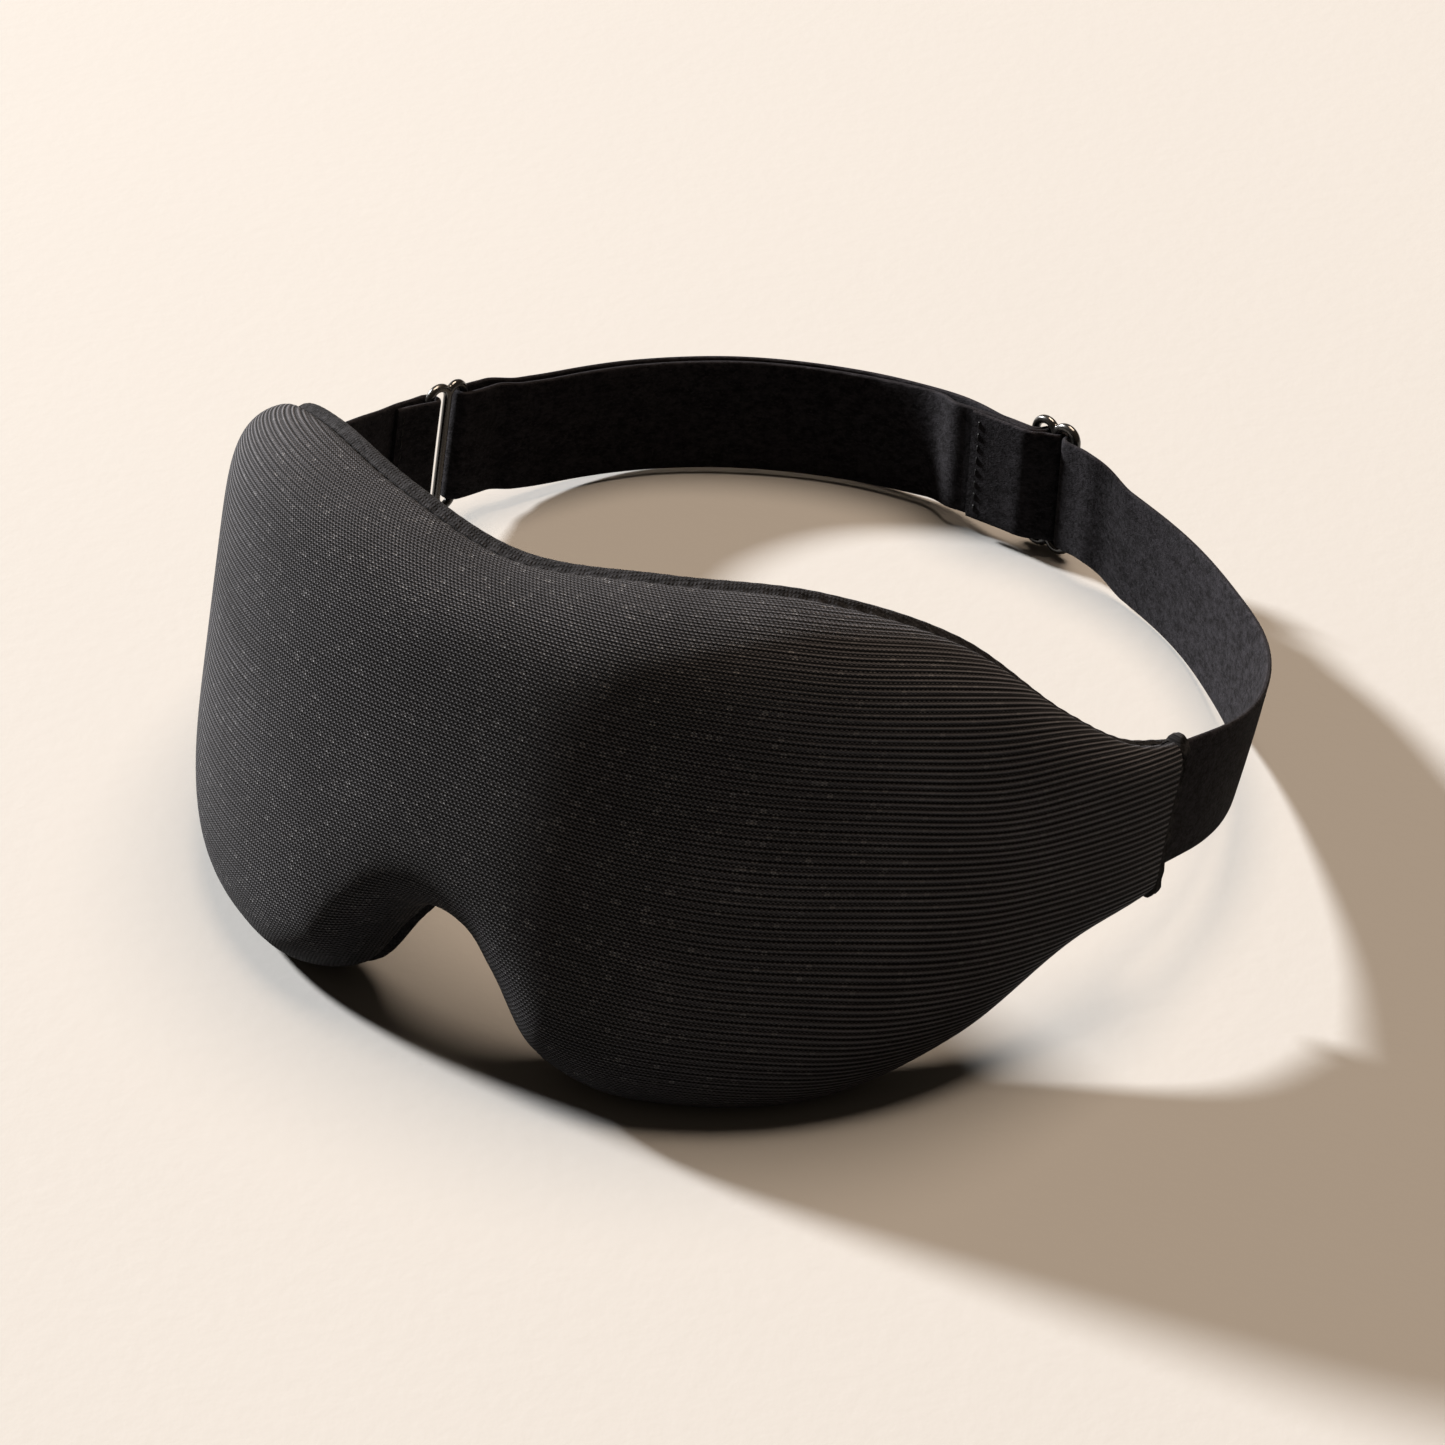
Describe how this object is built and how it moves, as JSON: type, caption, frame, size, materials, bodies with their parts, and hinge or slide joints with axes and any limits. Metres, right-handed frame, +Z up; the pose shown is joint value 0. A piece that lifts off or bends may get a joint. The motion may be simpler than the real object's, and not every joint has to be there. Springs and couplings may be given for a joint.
{
  "type": "sleep mask",
  "caption": "Padded contoured sleep mask with a nose notch, recessed eye cups and an adjustable elastic strap run through a ring and a three-bar slider.",
  "frame": {"origin": "centre of the bounding box at floor level, where the mask stands on the two lobes of its pad and the back of its strap", "axes": "+X towards the wearer's left, -Y out of the front of the mask, +Z up"},
  "size_m": [0.1904, 0.1963, 0.0843],
  "materials": {
    "cover_fabric": "charcoal black fine twill jersey with a faint sheen",
    "lining_fabric": "soft black brushed lining",
    "foam": "open-cell foam, hidden inside the pad",
    "webbing": "brushed elastic webbing",
    "thread": "black sewing thread",
    "hardware": "gloss black moulded plastic"
  },
  "bodies": {
    "mask": {"front_cover": "cover_fabric", "face_lining": "lining_fabric", "foam_core": "foam", "tab_welt_left": "cover_fabric", "tab_welt_right": "cover_fabric", "short_strap": "webbing", "short_strap_stitch": "thread", "side_run": "webbing", "outer_run_slider": "webbing", "inner_run_slider": "webbing", "outer_run_ring": "webbing", "inner_run_ring": "webbing"},
    "ring": {"ring": "hardware", "strap_turn": "webbing"},
    "slider": {"slider": "hardware", "strap_in_slider": "webbing", "strap_end_loop": "webbing", "strap_end_stitch": "thread"}
  },
  "joints": [
    {"name": "ring_swivel", "type": "hinge", "parent": "mask", "child": "ring", "pos_m": [-0.09251, 0.0281, 0.02194], "axis": [0.0315, 0.2117, 0.9768], "range_deg": [-20, 20], "deforming": ["outer_run_ring", "inner_run_ring"]},
    {"name": "slider_travel", "type": "hinge", "parent": "mask", "child": "slider", "pos_m": [-0.0078, -0.00073, 0.02849], "axis": [0, 0.2216, 0.9751], "range_deg": [-28, 35], "deforming": ["outer_run_slider", "inner_run_slider", "side_run"]}
  ]
}
